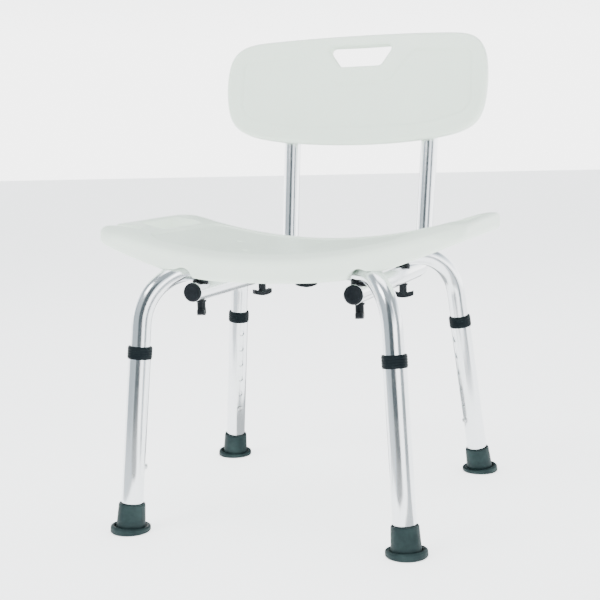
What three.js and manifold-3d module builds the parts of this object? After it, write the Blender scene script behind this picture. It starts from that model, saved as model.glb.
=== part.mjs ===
// Height-adjustable shower chair: crossed aluminium leg frame, blow-moulded seat and backrest.
// Units are millimetres. +Z is up, the sitter faces -Y, and the floor is Z = 0.
// Y = 0 in the dimensions below is midway between the front and the rear feet.

import * as THREE from 'three';
import { mergeVertices } from 'three/addons/utils/BufferGeometryUtils.js';
import Module from 'manifold-3d';

const wasm = await Module();
wasm.setup();

// ---------------------------------------------------------------- driving dimensions

const GAP = 0.3; // clearance between touching pieces
const OUTLINE_MIDDLE_Y = 42.2; // the finished chair's origin, on the floor

// feet and leg lines, on the floor
const FRONT_FOOT = { x: 184, y: -199 };
const REAR_FOOT = { x: 200, y: 199 };
const FRONT_SPLAY = THREE.MathUtils.degToRad(5.5);
const REAR_SPLAY = THREE.MathUtils.degToRad(8.5);

// tubes
const FRAME_TUBE_R = 12.7;
const FRAME_WALL = 1.2;
const LEG_TUBE_R = 14.3;
const LEG_WALL = 1.3;
const TUBE_SIDES = 16;
const ARC_STEPS = 5;

// crossed leg frame
const CROSS_Z = 332.9;
const LEG_BEND_R = 70;
const FRAME_TUBE_END_Z = 62;
const LAP_FLAT = 18;
const LAP_BLEND = 20;
const LAP_HALF_HEIGHT = 6.15;
const LAP_WIDEN = 1.1;

// telescoping legs, measured along the leg from the floor
const LEG_TUBE_FROM = 9;
const LEG_TUBE_TO = 236.5;
const COLLAR_FROM = 225.8;
const COLLAR_TO = 242;
const COLLAR_R = 15.5;
const HOLE_PITCH = 25;
const HOLE_COUNT = 6;
const LOCK_HEIGHT = 84;
const LOCK_HOLE_R = 4.2;
const BUTTON_R = 3.8;
const BUTTON_PROUD = 3.6;

// rubber foot
const FOOT_BASE_R = 26.2;
const FOOT_RIM_R = 25;
const FOOT_RIM_Z = 8;
const FOOT_CONE_BASE_R = 18.6;
const FOOT_CONE_TOP_R = 17;
const FOOT_HEIGHT = 37;

// back tubes: a level run under the seat, then a reclined upright
const RUN_X = 108;
const RUN_Z = 307;
const RUN_FRONT_Y = -146;
const CORNER_Y = 228.8;
const RECLINE = THREE.MathUtils.degToRad(11.5);
const UPRIGHT_LEAN = THREE.MathUtils.degToRad(1.2);
const UPRIGHT_LENGTH = 316;
const RUN_BEND_R = 52;

// seat panel
const SEAT_HALF_WIDTH = 247;
const SEAT_FRONT = -150;
const SEAT_REAR = 130;
const SEAT_TOP = 358;
const SEAT_TOP_RADIUS = 700;
const SEAT_CORNER_R = 25;
const FRONT_BOW = 12;
const SEAT_FRONT_EDGE_R = 18;
const SEAT_REAR_EDGE_R = 8;
const SEAT_WALL = 3;
const BELLY = [[0, 320.7], [60, 322.1], [100, 326], [130, 332.2], [162, 341.5], [203, 356.5],
  [242, 371.5]];
const SHOULDER = [[242, 394.8], [233, 394.3], [224, 393.2], [214, 391.2], [205, 388.9]];
const FIELD = { halfWidth: 178, front: -128, rear: 110, corner: 24, depth: 1.2 };
const CHANNEL_HALF_WIDTH = 15.2;
const CHANNEL_RISE = 13.3;
const CHANNEL_ROUND = 10;
const CHANNEL_TOP = CROSS_Z + CHANNEL_RISE;
const MOUTH = { r: 14, x: 118, z: 326, from: 130, to: 180 };
const SLOT = { inner: 190, outer: 230, longHalf: 72, shortHalf: 58, y: 8, corner: 12 };
const NOTCH = { depth: 45, halfWidth: 12, y: -100 };
const DRAIN_R = 4;
const DRAINS = [[0, -72], [0, 58], [52, -98], [52, 84], [96, -8]];

// backrest panel, in its own reclined frame: X across, Y to the rear, Z up the panel
const BACK_CENTRE_Z = 580;
const BACK_RADIUS = 543;
const BACK_MID_Y = -4;
const BACK_THICK = 22;
const BACK_WALL = 3;
const SOCKET_R = 16.2;
const SOCKET_TOP = 46;

// fasteners
const STUD_R = 3;
const STUD_HOLE_R = 3.6;
const SADDLE_R = 10.5;
const INSERT_R = 6;
const INSERT_LONG = 9.4;
const INSERT_SHORT = 4.8;

// ---------------------------------------------------------------- materials

function finish(color, roughness, metalness) {
  return new THREE.MeshStandardMaterial({ color, roughness, metalness });
}

const aluminium = finish(0xc9d0d4, 0.32, 1);
const steel = finish(0xb4b8ba, 0.35, 1);
const brass = finish(0xb79a55, 0.4, 1);
const whitePlastic = finish(0xe3e9e1, 0.5, 0);
const darkPlastic = finish(0x2f3a40, 0.5, 0);
const collarPlastic = finish(0x37454a, 0.55, 0);
const rubber = finish(0x46605e, 0.8, 0);

// ---------------------------------------------------------------- geometry helpers

function solidOf(geometry) {
  const bare = geometry.clone();
  bare.deleteAttribute('normal');
  bare.deleteAttribute('uv');
  const merged = mergeVertices(bare, 1e-4);
  const vertProperties = new Float32Array(merged.attributes.position.array);
  const triVerts = new Uint32Array(merged.index.array);
  return new wasm.Manifold(new wasm.Mesh({ numProp: 3, vertProperties, triVerts }));
}

function geometryOf(solid) {
  const { vertProperties, triVerts } = solid.getMesh();
  const geometry = new THREE.BufferGeometry();
  geometry.setAttribute('position', new THREE.BufferAttribute(vertProperties, 3));
  geometry.setIndex(new THREE.BufferAttribute(triVerts, 1));
  geometry.computeVertexNormals();
  return geometry;
}

function cut(geometry, cutters) {
  return geometryOf(cutters.reduce((solid, c) => solid.subtract(solidOf(c)), solidOf(geometry)));
}

function join(geometries) {
  const solids = geometries.map(solidOf);
  return geometryOf(solids.reduce((all, s) => all.add(s)));
}

function common(a, b) {
  return geometryOf(solidOf(a).intersect(solidOf(b)));
}

// A closed solid of revolution about Z, from [radius, height] points listed upwards.
function turned(profile, sides = 24) {
  const points = profile.map(([r, z]) => new THREE.Vector2(r, z));
  return new THREE.LatheGeometry(points, sides).rotateX(Math.PI / 2);
}

// A rod along Z between two heights.
function rod(radius, from, to, sides = 24) {
  return turned([[0, from], [radius, from], [radius, to], [0, to]], sides);
}

// An open-ended sleeve along Z; a closed profile gives it a wall.
function sleeve(outer, inner, from, to, sides = 24) {
  return turned([[inner, from], [outer, from], [outer, to], [inner, to], [inner, from]], sides);
}

// A flat outline in X and Y, made a prism between two heights.
function prism(shape, from, to, curveSegments = 8) {
  const options = { depth: to - from, bevelEnabled: false, curveSegments };
  return new THREE.ExtrudeGeometry(shape, options).translate(0, 0, from);
}

// Rounds the corners of a closed outline given as [x, y, radius] points.
function roundedShape(corners) {
  const shape = new THREE.Shape();
  corners.forEach(([x, y, radius], i) => {
    const here = new THREE.Vector2(x, y);
    const [before, after] = [corners.at(i - 1), corners[(i + 1) % corners.length]].map(
      ([px, py]) => new THREE.Vector2(px, py).sub(here).setLength(radius).add(here));
    if (i === 0) {
      shape.moveTo(before.x, before.y);
    } else {
      shape.lineTo(before.x, before.y);
    }
    shape.quadraticCurveTo(x, y, after.x, after.y);
  });
  shape.closePath();
  return shape;
}

// A path through fixed stations, so that straight stretches need no extra sections.
class StationPath extends THREE.Curve {
  constructor(stations) {
    super();
    this.stations = stations;
  }

  sample(key, t, target) {
    const last = this.stations.length - 1;
    const place = THREE.MathUtils.clamp(t, 0, 1) * last;
    const from = Math.min(Math.floor(place), last - 1);
    return target.lerpVectors(this.stations[from][key], this.stations[from + 1][key], place - from);
  }

  getPoint(t, target = new THREE.Vector3()) {
    return this.sample('point', t, target);
  }

  getTangent(t, target = new THREE.Vector3()) {
    return this.sample('tangent', t, target).normalize();
  }

  getUtoTmapping(u) {
    return u;
  }
}

// Stations along straight legs joined by arcs. `extra` adds stations on the straights, as distances.
function bentStations(corners, bendRadius, arcSteps, extra = []) {
  const stations = [];
  const add = (point, tangent) => stations.push({ point, tangent });
  for (let i = 0; i < corners.length - 1; i += 1) {
    const tangent = corners[i + 1].clone().sub(corners[i]).normalize();
    if (i === 0) {
      add(corners[0].clone(), tangent);
    } else {
      const inward = corners[i].clone().sub(corners[i - 1]).normalize();
      const turn = inward.angleTo(tangent);
      const setback = bendRadius * Math.tan(turn / 2);
      const start = corners[i].clone().addScaledVector(inward, -setback);
      const side = tangent.clone().addScaledVector(inward, -tangent.dot(inward)).normalize();
      for (let k = 0; k <= arcSteps; k += 1) {
        const angle = (turn * k) / arcSteps;
        const point = start.clone()
          .addScaledVector(inward, bendRadius * Math.sin(angle))
          .addScaledVector(side, bendRadius * (1 - Math.cos(angle)));
        const heading = inward.clone().multiplyScalar(Math.cos(angle))
          .addScaledVector(side, Math.sin(angle));
        add(point, heading);
      }
    }
    extra.filter((e) => e.leg === i).forEach((e) => {
      add(corners[i].clone().addScaledVector(tangent, e.at), tangent);
    });
  }
  const end = corners.at(-1);
  add(end.clone(), end.clone().sub(corners.at(-2)).normalize());
  return stations;
}

// A tube or a solid rod swept along stations.
function swept(stations, outer, inner = 0, sides = TUBE_SIDES) {
  const shape = new THREE.Shape().absarc(0, 0, outer, 0, Math.PI * 2);
  if (inner > 0) {
    shape.holes.push(new THREE.Path().absarc(0, 0, inner, 0, Math.PI * 2, true));
  }
  return new THREE.ExtrudeGeometry(shape, {
    steps: stations.length - 1,
    extrudePath: new StationPath(stations),
    curveSegments: sides / 2,
  });
}

// ---------------------------------------------------------------- assembly helpers

const chair = new THREE.Group();
chair.position.y = -OUTLINE_MIDDLE_Y;

function place(parent, name, geometry, material) {
  const mesh = new THREE.Mesh(geometry, material);
  mesh.name = name;
  parent.add(mesh);
  return mesh;
}

const v2 = (x, y) => new THREE.Vector2(x, y);
const v3 = (x, y, z) => new THREE.Vector3(x, y, z);

// ---------------------------------------------------------------- crossed leg frame

// Each cross tube runs from one front foot to the opposite rear foot. Its own frame has X along
// that diagonal from the front foot, and Z up.
const DIAGONAL = Math.hypot(FRONT_FOOT.x + REAR_FOOT.x, REAR_FOOT.y - FRONT_FOOT.y);
const DIAGONAL_ANGLE = Math.atan2(REAR_FOOT.y - FRONT_FOOT.y, FRONT_FOOT.x + REAR_FOOT.x);
const alongAtX = (x) => (x + FRONT_FOOT.x) / Math.cos(DIAGONAL_ANGLE);
const CROSSING = alongAtX(0);
const FRONT_SADDLE = alongAtX(-RUN_X);
const REAR_SADDLE = alongAtX(RUN_X);
const yAtAlong = (along) => FRONT_FOOT.y + along * Math.sin(DIAGONAL_ANGLE);

const frontCorner = CROSS_Z * Math.tan(FRONT_SPLAY);
const rearCorner = DIAGONAL - CROSS_Z * Math.tan(REAR_SPLAY);

function crossCorners() {
  return [
    v3(FRAME_TUBE_END_Z * Math.tan(FRONT_SPLAY), 0, FRAME_TUBE_END_Z),
    v3(frontCorner, 0, CROSS_Z),
    v3(rearCorner, 0, CROSS_Z),
    v3(DIAGONAL - FRAME_TUBE_END_Z * Math.tan(REAR_SPLAY), 0, FRAME_TUBE_END_Z),
  ];
}

// Distances from the crossing at which the tube changes shape for the half-lap.
function lapStations() {
  const half = [1, 0.67, 0.33, 0].map((share) => LAP_FLAT + share * LAP_BLEND);
  return [...half.map((d) => -d), ...half.toReversed()]
    .map((d) => ({ leg: 1, at: CROSSING - frontCorner + d }));
}

// Squashes the tube where the two cross, so that one passes under the other in one tube's height.
function halfLap(geometry, side) {
  const position = geometry.attributes.position;
  const point = v3(0, 0, 0);
  for (let i = 0; i < position.count; i += 1) {
    point.fromBufferAttribute(position, i);
    const away = Math.abs(point.x - CROSSING);
    const blend = 1 - THREE.MathUtils.smoothstep(away, LAP_FLAT, LAP_FLAT + LAP_BLEND);
    if (blend > 0) {
      const squash = 1 - blend * (1 - LAP_HALF_HEIGHT / FRAME_TUBE_R);
      const lift = side * blend * (LAP_HALF_HEIGHT + GAP / 2);
      point.z = CROSS_Z + lift + (point.z - CROSS_Z) * squash;
      point.y *= 1 + blend * (LAP_WIDEN - 1);
      position.setXYZ(i, point.x, point.y, point.z);
    }
  }
  return geometry;
}

// Puts geometry given in a leg's own frame into its cross tube's frame, or into a corner's frame.
function legMatrix(atRear) {
  const splay = atRear ? -REAR_SPLAY : FRONT_SPLAY;
  return new THREE.Matrix4().makeTranslation(atRear ? DIAGONAL : 0, 0, 0)
    .multiply(new THREE.Matrix4().makeRotationY(splay));
}

// A short rod across a tube wall on the side that faces the middle of the chair.
function lockHole(height, radius) {
  return rod(radius, 4, 22, 10).rotateY(Math.PI / 2).translate(0, 0, height);
}

function crossTube(side) {
  const stations = bentStations(crossCorners(), LEG_BEND_R, ARC_STEPS, lapStations());
  const tube = halfLap(swept(stations, FRAME_TUBE_R, FRAME_TUBE_R - FRAME_WALL), side);
  const studs = [CROSSING, FRONT_SADDLE, REAR_SADDLE]
    .map((along) => rod(STUD_HOLE_R, CROSS_Z - 20, CROSS_Z + 20, 10).translate(along, 0, 0));
  const locks = [false, true].map((atRear) => {
    const facing = atRear ? lockHole(LOCK_HEIGHT, LOCK_HOLE_R).rotateZ(Math.PI)
      : lockHole(LOCK_HEIGHT, LOCK_HOLE_R);
    return facing.applyMatrix4(legMatrix(atRear));
  });
  return cut(tube, [...studs, ...locks]);
}

// ---------------------------------------------------------------- legs

// A leg's own frame has its origin on the floor, Z up the leg and X towards the chair's middle.
function legTube() {
  const tube = sleeve(LEG_TUBE_R, LEG_TUBE_R - LEG_WALL, LEG_TUBE_FROM, LEG_TUBE_TO, TUBE_SIDES);
  const holes = Array.from({ length: HOLE_COUNT },
    (_, i) => lockHole(LOCK_HEIGHT + i * HOLE_PITCH, LOCK_HOLE_R));
  return cut(tube, holes);
}

function collar() {
  const bore = LEG_TUBE_R + GAP;
  const lip = FRAME_TUBE_R + GAP;
  return turned([
    [bore, COLLAR_FROM], [COLLAR_R, COLLAR_FROM], [COLLAR_R, COLLAR_TO - 1],
    [COLLAR_R - 1, COLLAR_TO], [lip, COLLAR_TO], [lip, LEG_TUBE_TO + GAP],
    [bore, LEG_TUBE_TO + GAP], [bore, COLLAR_FROM],
  ], 20);
}

// The foot's flange is flat on the floor, while its socket leans with the leg.
function foot(splay) {
  const flange = turned([
    [0, 0], [FOOT_BASE_R - 0.8, 0], [FOOT_BASE_R, 1], [FOOT_BASE_R, 3], [FOOT_RIM_R, 4.2],
    [FOOT_RIM_R, FOOT_RIM_Z - 1], [FOOT_RIM_R - 1, FOOT_RIM_Z], [20.5, 6], [0, 6],
  ], 20);
  const cone = turned([
    [0, 3.4], [FOOT_CONE_BASE_R, 3.4], [FOOT_CONE_BASE_R, 10],
    [FOOT_CONE_TOP_R, FOOT_HEIGHT - 0.8], [FOOT_CONE_TOP_R - 0.8, FOOT_HEIGHT], [0, FOOT_HEIGHT],
  ], 20).rotateY(splay);
  const socket = rod(LEG_TUBE_R + GAP, 7, FOOT_HEIGHT + 5, 20).rotateY(splay);
  return cut(join([flange, cone]), [socket]);
}

// Spring clip inside the frame tube: a domed button on a V of flat steel.
function snapClip() {
  const nose = LEG_TUBE_R + BUTTON_PROUD;
  const button = turned([
    [0, 7], [BUTTON_R, 7], [BUTTON_R, nose - 2], [BUTTON_R - 1, nose - 0.5], [0, nose],
  ], 16).rotateY(Math.PI / 2);
  const strip = new THREE.Shape([
    v2(-9.4, 8), v2(-8.6, 8.2), v2(-3.2, 34), v2(0.2, 36.6), v2(3.4, 34), v2(7.4, 5), v2(7.4, -5),
    v2(8.2, -5), v2(8.2, 5), v2(4.2, 34.4), v2(0.2, 37.6), v2(-4, 34.4),
  ]);
  const leaf = new THREE.ExtrudeGeometry(strip, { depth: 5, bevelEnabled: false })
    .rotateX(Math.PI / 2).translate(0, 2.5, 0);
  return join([button, leaf]).translate(0, 0, LOCK_HEIGHT);
}

// ---------------------------------------------------------------- knobs and saddles

// A thumb screw hangs below its seat; Z = 0 is its top face.
function knobHead(turn) {
  const hub = turned([
    [0, -14], [5.8, -14], [5.8, -1.6], [7, -0.6], [7, 0], [0, 0],
  ], 16);
  const wing = roundedShape([
    [-15, -14.5, 1.6], [-5, -20.5, 2], [5, -20.5, 2], [15, -17, 1.6], [15, -11.5, 1.6],
    [5, -12.6, 2], [-5, -12.6, 2], [-15, -8.5, 1.6],
  ]);
  const bar = prism(wing, -5.6, 5.6, 2).rotateX(Math.PI / 2);
  const socket = rod(STUD_R + GAP, -9, 1, 16);
  return cut(join([hub, bar]).rotateZ(turn), [socket]);
}

function knobStud(length) {
  return rod(STUD_R, -8.7, length, 12);
}

// A puck between a back tube and a cross tube, cupped to both.
function saddle(side) {
  const puck = rod(SADDLE_R, RUN_Z + 5, CROSS_Z - 6, 20);
  const lower = rod(FRAME_TUBE_R + GAP, -30, 30, TUBE_SIDES).rotateX(Math.PI / 2)
    .translate(0, 0, RUN_Z);
  const heading = side * DIAGONAL_ANGLE;
  const upper = rod(FRAME_TUBE_R + GAP, -30, 30, TUBE_SIDES).rotateY(Math.PI / 2)
    .rotateZ(heading).translate(0, 0, CROSS_Z);
  return cut(puck, [lower, upper, rod(STUD_HOLE_R, RUN_Z, CROSS_Z, 12)]);
}

// ---------------------------------------------------------------- back tubes

// A back tube's frame has its origin on the level run's axis at Y = 0, tilted by the upright's lean.
function backTubeCorners() {
  return [
    v3(0, RUN_FRONT_Y, 0),
    v3(0, CORNER_Y, 0),
    v3(0, CORNER_Y + UPRIGHT_LENGTH * Math.sin(RECLINE), UPRIGHT_LENGTH * Math.cos(RECLINE)),
  ];
}

function backTube(lean, studYs) {
  const stations = bentStations(backTubeCorners(), RUN_BEND_R, ARC_STEPS);
  const tube = swept(stations, FRAME_TUBE_R, FRAME_TUBE_R - FRAME_WALL).rotateY(lean);
  const studs = studYs.map((y) => rod(STUD_HOLE_R, -20, 20, 12).translate(0, y, 0));
  return cut(tube, [...studs, screwHole(lean)]);
}

function tubePlug() {
  const stem = FRAME_TUBE_R - FRAME_WALL - GAP;
  return turned([
    [0, -3], [10.6, -3], [12.6, -1.2], [12.6, 0], [stem, 0], [stem, 12], [0, 12],
  ], 16).rotateX(-Math.PI / 2);
}

// The back screw enters the upright from the rear, square to it.
const SCREW_UP = 272;
function screwMatrix(lean) {
  return new THREE.Matrix4().makeRotationY(lean)
    .multiply(new THREE.Matrix4().makeTranslation(0, CORNER_Y, 0))
    .multiply(new THREE.Matrix4().makeRotationX(-RECLINE))
    .multiply(new THREE.Matrix4().makeTranslation(0, 0, SCREW_UP))
    .multiply(new THREE.Matrix4().makeRotationX(-Math.PI / 2));
}

function screwHole(lean) {
  return rod(2.8, 5, 30, 12).applyMatrix4(screwMatrix(lean));
}

function backScrew(lean) {
  const head = SOCKET_R + GAP;
  return turned([
    [0, 7], [2.4, 7], [2.4, head], [5, head], [5, head + 1.6], [3.4, head + 3], [0, head + 3.2],
  ], 16).applyMatrix4(screwMatrix(lean));
}

// ---------------------------------------------------------------- seat panel

// Sweeps a section across the seat's arc. The section has X to the front and Y down from the top.
function acrossSeat(section, reach = 262) {
  const full = Math.asin(reach / SEAT_TOP_RADIUS);
  const stations = Array.from({ length: 13 }, (_, i) => {
    const angle = (i / 6 - 1) * full;
    const rise = SEAT_TOP_RADIUS * (1 - Math.cos(angle));
    return {
      point: v3(SEAT_TOP_RADIUS * Math.sin(angle), 0, SEAT_TOP + rise),
      tangent: v3(Math.cos(angle), 0, Math.sin(angle)),
    };
  });
  return new THREE.ExtrudeGeometry(section, {
    steps: stations.length - 1,
    extrudePath: new StationPath(stations),
    curveSegments: 3,
  });
}

// Front to rear: a generous waterfall edge at the front and a tighter one at the rear.
function depthSection(inset) {
  const front = -SEAT_FRONT - inset;
  const rear = -SEAT_REAR + inset;
  const frontEdge = SEAT_FRONT_EDGE_R - inset;
  const rearEdge = SEAT_REAR_EDGE_R - inset;
  const shape = new THREE.Shape();
  shape.moveTo(front, 90);
  shape.lineTo(front, inset + frontEdge);
  shape.absarc(front - frontEdge, inset + frontEdge, frontEdge, 0, -Math.PI / 2, true);
  shape.lineTo(rear + rearEdge, inset);
  shape.absarc(rear + rearEdge, inset + rearEdge, rearEdge, -Math.PI / 2, -Math.PI, true);
  shape.lineTo(rear, 90);
  shape.closePath();
  return shape;
}

// Across the width: the belly and the levelled ends, open upwards for the arc to close.
function widthSection(inset) {
  const edge = SEAT_HALF_WIDTH - inset;
  const half = [
    ...BELLY.map(([x, z]) => [x * (edge / SEAT_HALF_WIDTH), z + inset]),
    [edge, 376 + inset], [edge, 390.8 - inset], [edge - 1.5, 393.8 - inset],
    ...SHOULDER.map(([x, z]) => [x * (edge / SEAT_HALF_WIDTH), z - inset]),
    [190, 430],
  ].map(([x, z]) => v2(x, z));
  const mirrored = half.slice(1).map((p) => v2(-p.x, p.y)).toReversed();
  const shape = new THREE.Shape([...half, ...mirrored]);
  return new THREE.ExtrudeGeometry(shape, { depth: 400, bevelEnabled: false })
    .rotateX(Math.PI / 2).translate(0, 200, 0);
}

function seatPlan(inset) {
  const x = SEAT_HALF_WIDTH - inset;
  const r = SEAT_CORNER_R;
  return prism(roundedShape([
    [-x, SEAT_FRONT + inset, r], [x, SEAT_FRONT + inset, r], [x, SEAT_REAR - inset, r],
    [-x, SEAT_REAR - inset, r],
  ]), 300, 430, 4);
}

// Bows the front edge forwards between the two front corners.
function bowedFront(geometry) {
  const position = geometry.attributes.position;
  for (let i = 0; i < position.count; i += 1) {
    const y = position.getY(i);
    const across = position.getX(i) / SEAT_HALF_WIDTH;
    const share = THREE.MathUtils.smoothstep(-y, 0, -SEAT_FRONT);
    position.setY(i, y - FRONT_BOW * Math.max(1 - across * across, 0) * share);
  }
  return geometry;
}

function seatBlock(inset) {
  const block = common(acrossSeat(depthSection(inset)), widthSection(inset));
  return bowedFront(common(block, seatPlan(inset)));
}

// The shallow sunken field that the sitter rests on.
function seatField() {
  const { halfWidth, front, rear, corner, depth } = FIELD;
  const layer = new THREE.Shape([v2(-170, depth), v2(-170, -8), v2(170, -8), v2(170, depth)]);
  const plan = roundedShape([
    [-halfWidth, front, corner], [halfWidth, front, corner], [halfWidth, rear, corner],
    [-halfWidth, rear, corner],
  ]);
  return common(acrossSeat(layer), bowedFront(prism(plan, 300, 430, 4)));
}

// Sweeps a section along a cross tube's line. The section has X across and Y down, or inwards.
function alongCrossTube(section, side) {
  const stations = bentStations(crossCorners(), LEG_BEND_R, ARC_STEPS);
  return new THREE.ExtrudeGeometry(section, {
    steps: stations.length - 1,
    extrudePath: new StationPath(stations),
    curveSegments: 3,
  }).rotateZ(side < 0 ? DIAGONAL_ANGLE : Math.PI - DIAGONAL_ANGLE)
    .translate(side * FRONT_FOOT.x, FRONT_FOOT.y, 0);
}

// The arched trough that lets the seat down over a cross tube.
function channels() {
  const half = CHANNEL_HALF_WIDTH;
  const shoulder = CHANNEL_RISE - CHANNEL_ROUND;
  const arch = new THREE.Shape();
  arch.moveTo(half, 40);
  arch.lineTo(half, -shoulder);
  arch.absarc(half - CHANNEL_ROUND, -shoulder, CHANNEL_ROUND, 0, -Math.PI / 2, true);
  arch.absarc(CHANNEL_ROUND - half, -shoulder, CHANNEL_ROUND, -Math.PI / 2, -Math.PI, true);
  arch.lineTo(-half, 40);
  arch.closePath();
  return [-1, 1].map((side) => alongCrossTube(arch, side));
}

// Solid webs over the troughs, which part the hollow into four.
function channelWebs() {
  const half = CHANNEL_HALF_WIDTH + SEAT_WALL;
  const web = new THREE.Shape([v2(half, 45), v2(half, -60), v2(-half, -60), v2(-half, 45)]);
  return [-1, 1].map((side) => alongCrossTube(web, side));
}

// The troughs' arched mouths through the front lip.
function mouths(grow) {
  return [-1, 1].map((side) => rod(MOUTH.r + grow, MOUTH.from - grow, MOUTH.to, 20)
    .rotateX(Math.PI / 2).translate(side * MOUTH.x, 0, MOUTH.z));
}

function handSlot(side, grow) {
  const { inner, outer, longHalf, shortHalf, y, corner } = SLOT;
  const slot = prism(roundedShape([
    [inner - grow, y - longHalf - grow, corner + grow],
    [outer + grow, y - shortHalf - grow, corner + grow],
    [outer + grow, y + shortHalf + grow, corner + grow],
    [inner - grow, y + longHalf + grow, corner + grow],
  ]), 300, 430, 4);
  return side > 0 ? slot : slot.rotateZ(Math.PI).translate(0, 2 * y, 0);
}

function handheldNotch(grow) {
  const half = NOTCH.halfWidth + grow;
  const mouth = SEAT_HALF_WIDTH + 20;
  const end = SEAT_HALF_WIDTH - NOTCH.depth - grow;
  return prism(roundedShape([
    [-mouth, NOTCH.y - half, 1], [-end, NOTCH.y - half, 9], [-end, NOTCH.y + half, 9],
    [-mouth, NOTCH.y + half, 1],
  ]), 300, 430, 4);
}

function drains(radius) {
  return DRAINS.flatMap(([x, y]) => (x ? [[x, y], [-x, y]] : [[x, y]]))
    .map(([x, y]) => rod(radius, 300, 430, 10).translate(x, y, 0));
}

const studPlaces = [
  { name: 'front_left', x: -RUN_X, y: yAtAlong(FRONT_SADDLE), side: 1, turn: 1.9 },
  { name: 'front_right', x: RUN_X, y: yAtAlong(FRONT_SADDLE), side: -1, turn: 1.8 },
  { name: 'rear_left', x: -RUN_X, y: yAtAlong(REAR_SADDLE), side: -1, turn: 0.95 },
  { name: 'rear_right', x: RUN_X, y: yAtAlong(REAR_SADDLE), side: 1, turn: 0.15 },
].map((p) => ({ ...p, insert: INSERT_LONG }));
const centreStud = { name: 'centre', x: 0, y: yAtAlong(CROSSING), turn: 0.7, insert: INSERT_SHORT };
const insertFrom = CHANNEL_TOP + GAP;

// Each threaded insert sits in a pocket above the trough.
function insertPocket(p) {
  return rod(INSERT_R + GAP, CHANNEL_TOP - 12, insertFrom + p.insert + GAP, 16)
    .translate(p.x, p.y, 0);
}

function threadedInsert(p) {
  return sleeve(INSERT_R, STUD_R + GAP, insertFrom, insertFrom + p.insert, 16);
}

// One small vent into each of the four hollow quarters, through the belly.
function vents() {
  return [[0, -112], [0, 96], [142, -4], [-142, -4]]
    .map(([x, y]) => rod(2.5, 300, 345, 10).translate(x, y, 0));
}

function seatPanel() {
  const hollow = cut(seatBlock(SEAT_WALL), [...channelWebs(), ...mouths(SEAT_WALL),
    handSlot(1, SEAT_WALL), handSlot(-1, SEAT_WALL), handheldNotch(SEAT_WALL),
    ...drains(DRAIN_R + 2)]);
  return cut(seatBlock(0), [seatField(), hollow, ...channels(), ...mouths(0), handSlot(1, 0),
    handSlot(-1, 0), handheldNotch(0), ...drains(DRAIN_R),
    ...[...studPlaces, centreStud].map(insertPocket), ...vents()]);
}

// ---------------------------------------------------------------- backrest panel

function backOutline(inset) {
  const half = [
    [0, 85], [60, 83.5], [117, 79], [165, 72], [189, 61], [202, 42], [207, 14], [206.5, -20],
    [200, -51], [184, -70], [150, -80.5], [85, -86], [0, -88],
  ].map(([x, z]) => v2(x * (1 - inset / 207), z * (1 - inset / 86)));
  const whole = [...half, ...half.slice(1, -1).map((p) => v2(-p.x, p.y)).toReversed()];
  const shape = new THREE.Shape();
  shape.setFromPoints(new THREE.SplineCurve([...whole, whole[0]]).getPoints(36));
  return shape;
}

// A bowed layer between two distances from the panel's middle, rear side positive; its ends come
// forward.
function bowedLayer(from, to) {
  const centre = BACK_MID_Y - BACK_RADIUS;
  const sweep = Math.asin(216 / BACK_RADIUS);
  const left = Math.PI / 2 + sweep;
  const right = Math.PI / 2 - sweep;
  const shape = new THREE.Shape()
    .absarc(0, centre, BACK_RADIUS + to, left, right, true)
    .absarc(0, centre, BACK_RADIUS + from, right, left, false);
  return prism(shape, -100, 100, 8);
}

function facing(shape) {
  return prism(shape, -100, 100, 3).rotateX(Math.PI / 2);
}

function handHole(grow) {
  const shape = roundedShape([
    [-56.5 - grow, 68 + grow, 7], [-33 - grow / 2, 35 - grow, 7], [33 + grow / 2, 35 - grow, 7],
    [56.5 + grow, 68 + grow, 7],
  ]);
  return facing(shape);
}

// The sunken field on the front face, dropped in the middle to clear the hand hole.
function backField() {
  const shape = roundedShape([
    [-182, 42, 14], [-184, -48, 26], [-105, -62, 48], [105, -62, 48], [184, -48, 26],
    [182, 42, 14], [88, 55.5, 12], [46, 8.3, 20], [-46, 8.3, 20], [-88, 55.5, 12],
  ]);
  return common(bowedLayer(-BACK_THICK / 2 - 6, -BACK_THICK / 2 + 1), facing(shape));
}

// The uprights in the backrest's frame, for its sockets.
const backFrame = new THREE.Matrix4().makeTranslation(0,
  CORNER_Y + (BACK_CENTRE_Z - RUN_Z) * Math.tan(RECLINE), BACK_CENTRE_Z)
  .multiply(new THREE.Matrix4().makeRotationX(-RECLINE));

function alongUpright(side, radius, from, to) {
  const upright = new THREE.Matrix4().makeTranslation(side * RUN_X, 0, RUN_Z)
    .multiply(new THREE.Matrix4().makeRotationY(side * UPRIGHT_LEAN))
    .multiply(new THREE.Matrix4().makeTranslation(0, CORNER_Y, 0))
    .multiply(new THREE.Matrix4().makeRotationX(-RECLINE));
  return rod(radius, from, to, TUBE_SIDES).applyMatrix4(upright);
}

const panelMiddle = (BACK_CENTRE_Z - RUN_Z) / Math.cos(RECLINE);
const socketFrom = panelMiddle - 78;
const socketTo = panelMiddle + SOCKET_TOP;

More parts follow.
